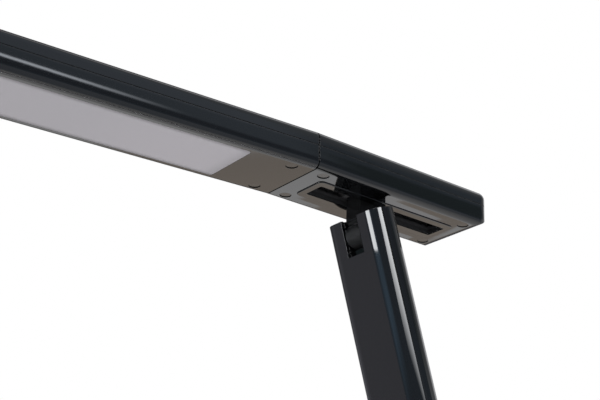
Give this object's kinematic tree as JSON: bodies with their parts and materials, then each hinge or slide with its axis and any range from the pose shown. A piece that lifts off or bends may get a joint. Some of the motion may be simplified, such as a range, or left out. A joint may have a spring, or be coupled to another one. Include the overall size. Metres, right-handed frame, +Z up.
{
  "type": "folding led desk lamp",
  "caption": "Folding desk lamp: flat weighted base, swivelling folding arm, and a slim light bar that slides, tilts and twists on a short neck.",
  "frame": {"origin": "underside of the non-slip pad, under the middle of the base", "axes": "+X to the front, towards the tip of the light bar; +Y to the left; +Z up"},
  "size_m": [0.4792, 0.15, 0.3873],
  "materials": {
    "rubber_black": "matt",
    "zinc_steel": "satin",
    "screw_steel": "satin",
    "ballast_iron": "matt",
    "circuit_board": "satin",
    "inlet_black": "matt",
    "gloss_black": "high gloss",
    "panel_black": "high gloss",
    "button_grey": "satin",
    "nylon": "matt",
    "arm_black": "gloss lacquer",
    "casting_black": "satin lacquer",
    "neck_black": "satin lacquer",
    "shoe_black": "matt",
    "track_black": "satin anodised",
    "plug_black": "satin",
    "spring_steel": "polished",
    "bare_aluminium": "satin",
    "opal": "satin opal",
    "reflector_white": "matt",
    "led_white": "satin",
    "wire_black": "matt"
  },
  "bodies": {
    "base": {"non_slip_pad": "rubber_black", "base_bottom_plate": "zinc_steel", "base_screws": "screw_steel", "ballast_weight": "ballast_iron", "driver_board": "circuit_board", "dc_inlet": "inlet_black", "base_cover": "gloss_black", "control_board": "circuit_board", "tact_switch": "zinc_steel", "control_panel": "panel_black", "swivel_slip_ring": "nylon"},
    "button": {"power_button": "button_grey"},
    "turntable": {"turntable": "arm_black", "swivel_wave_washer": "spring_steel", "swivel_nut": "zinc_steel", "base_hinge_pin": "zinc_steel", "base_hinge_washers": "spring_steel", "base_hinge_caps": "gloss_black"},
    "arm": {"arm_bottom_tongue": "casting_black", "arm_tube": "arm_black", "arm_top_fork": "casting_black", "arm_wire": "wire_black", "knuckle_pin": "zinc_steel", "knuckle_washers": "spring_steel"},
    "neck": {"neck_link": "neck_black", "neck_wire": "wire_black", "slide_shoe": "shoe_black", "slide_spring": "spring_steel"},
    "housing": {"slide_track": "track_black", "slot_bezel": "gloss_black", "housing_base": "gloss_black", "housing_bulkhead": "casting_black", "twist_bush": "nylon", "twist_wave_washer": "spring_steel", "housing_top_cover": "gloss_black", "housing_screws": "screw_steel", "housing_screw_plugs": "plug_black"},
    "light_bar": {"bar_end_plate": "casting_black", "twist_spindle": "zinc_steel", "twist_nut": "zinc_steel", "bar_lower_frame": "gloss_black", "bar_bottom_plate": "gloss_black", "diffuser": "opal", "reflector": "reflector_white", "led_board": "led_white", "led_carrier": "bare_aluminium", "bar_wire": "wire_black", "bar_top_cover": "gloss_black", "bar_screws": "screw_steel", "bar_screw_plugs": "plug_black"}
  },
  "joints": [
    {"name": "base_swivel", "type": "hinge", "parent": "base", "child": "turntable", "pos_m": [-0.048, 0, 0.018], "axis": [0, 0, 1], "range_deg": [-90, 90]},
    {"name": "arm_fold", "type": "hinge", "parent": "turntable", "child": "arm", "pos_m": [-0.048, 0, 0.033], "axis": [0, -1, 0], "range_deg": [-60, 33]},
    {"name": "head_fold", "type": "hinge", "parent": "arm", "child": "neck", "pos_m": [0.05897, 0, 0.35574], "axis": [0, 1, 0], "range_deg": [-60, 95]},
    {"name": "head_slide", "type": "slide", "parent": "neck", "child": "housing", "axis": [-1, 0, 0], "range_m": [-0.035, 0.022]},
    {"name": "bar_twist", "type": "hinge", "parent": "housing", "child": "light_bar", "pos_m": [0.09927, 0, 0.37869], "axis": [0.999, 0, -0.0436], "range_deg": [-90, 90]},
    {"name": "power_press", "type": "slide", "parent": "base", "child": "button", "axis": [0, 0, -1], "range_m": [0, 0.0005], "stiffness_N_per_m": 1000}
  ]
}
